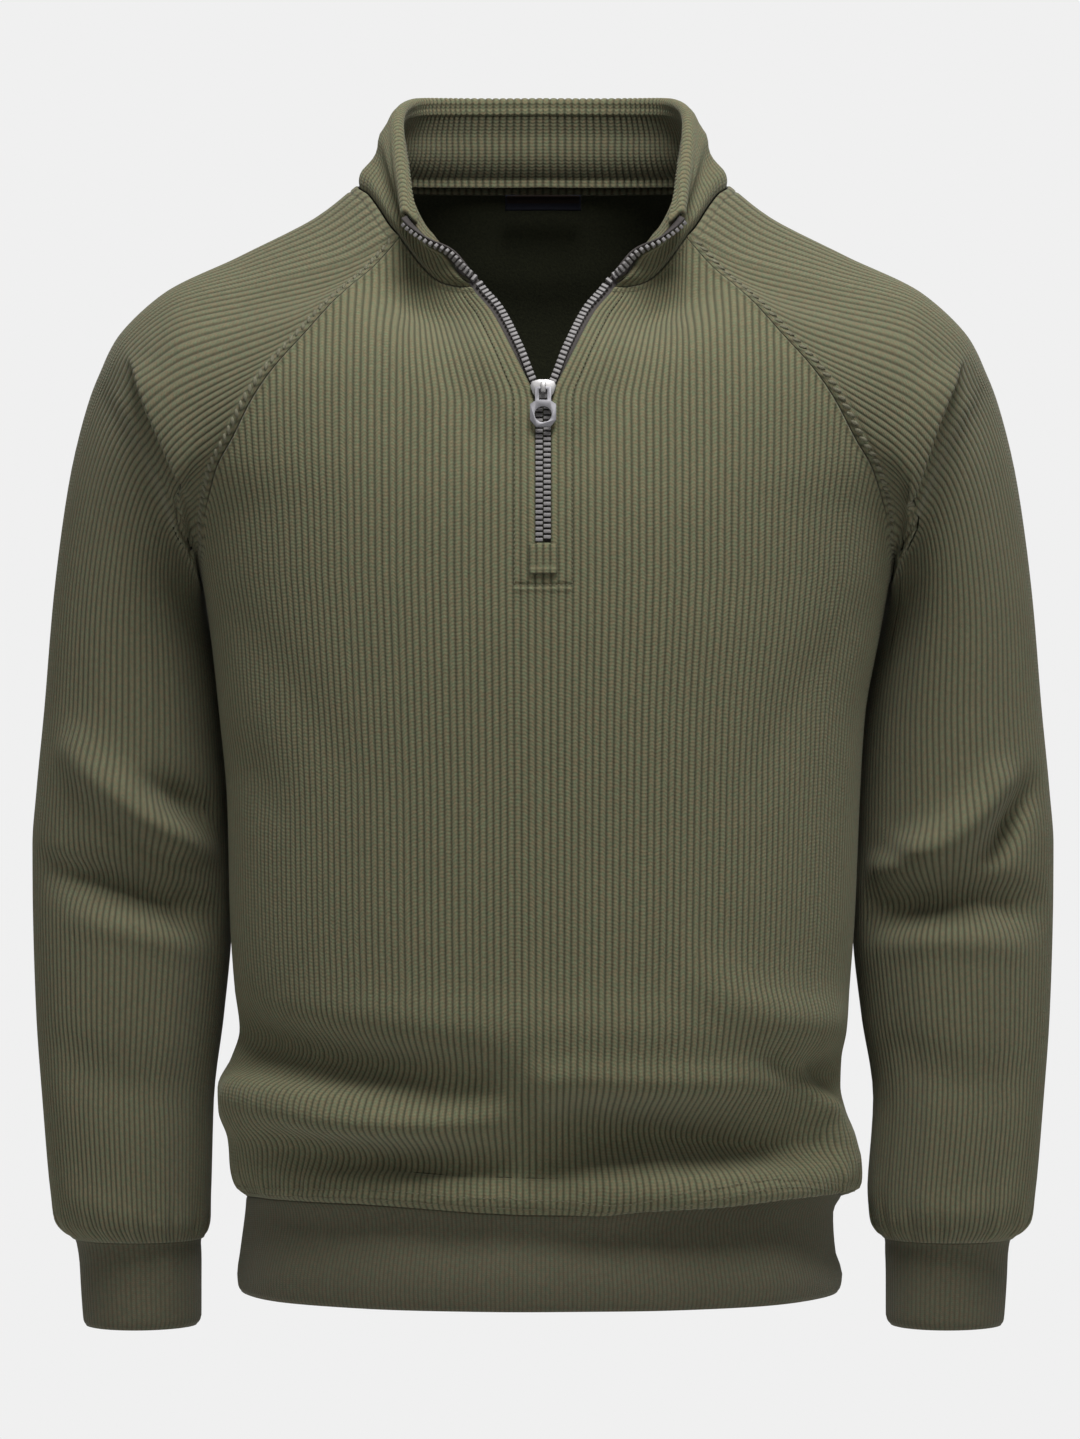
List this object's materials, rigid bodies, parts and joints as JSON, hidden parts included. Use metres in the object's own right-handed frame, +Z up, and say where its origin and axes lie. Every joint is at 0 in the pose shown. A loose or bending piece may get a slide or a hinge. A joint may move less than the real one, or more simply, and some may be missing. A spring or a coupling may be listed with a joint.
{
  "type": "mock neck sweatshirt",
  "caption": "Hollow ribbed-knit pullover with raglan sleeves, standing mock collar, rib cuffs and waistband, and a short front zip whose pull tab swings on its slider.",
  "frame": {"origin": "middle of the neck opening at the height of the shoulder points of the neck seam, where the wearer's neck and shoulders carry the garment", "axes": "+Z up to the collar, -Y out of the garment's front, +X to the wearer's left"},
  "size_m": [0.6176, 0.2886, 0.7479],
  "materials": {
    "ribbed_knit": "olive ribbed fleece-back knit",
    "facing_knit": "dark olive knit inside the collar",
    "fine_rib": "dark olive fine 1x1 rib",
    "zip_tape": "dark woven tape",
    "zip_metal": "satin nickel",
    "neck_label": "near-black woven label, bare"
  },
  "bodies": {
    "garment": {"front": "ribbed_knit", "back": "ribbed_knit", "sleeve_right": "ribbed_knit", "sleeve_left": "ribbed_knit", "collar": "ribbed_knit", "zip_end_patch": "ribbed_knit", "collar_facing": "facing_knit", "cuff_right": "fine_rib", "cuff_left": "fine_rib", "waistband": "fine_rib", "zip_tape_right": "zip_tape", "zip_tape_left": "zip_tape", "zip_chain_right": "zip_metal", "zip_chain_left": "zip_metal", "zip_slider": "zip_metal", "neck_label": "neck_label"},
    "pull_tab": {"pull_tab": "zip_metal"}
  },
  "joints": [
    {"name": "tab_swing", "type": "hinge", "parent": "garment", "child": "pull_tab", "pos_m": [0, -0.13535, -0.13092], "axis": [-1, 0, 0], "range_deg": [0, 140]}
  ]
}
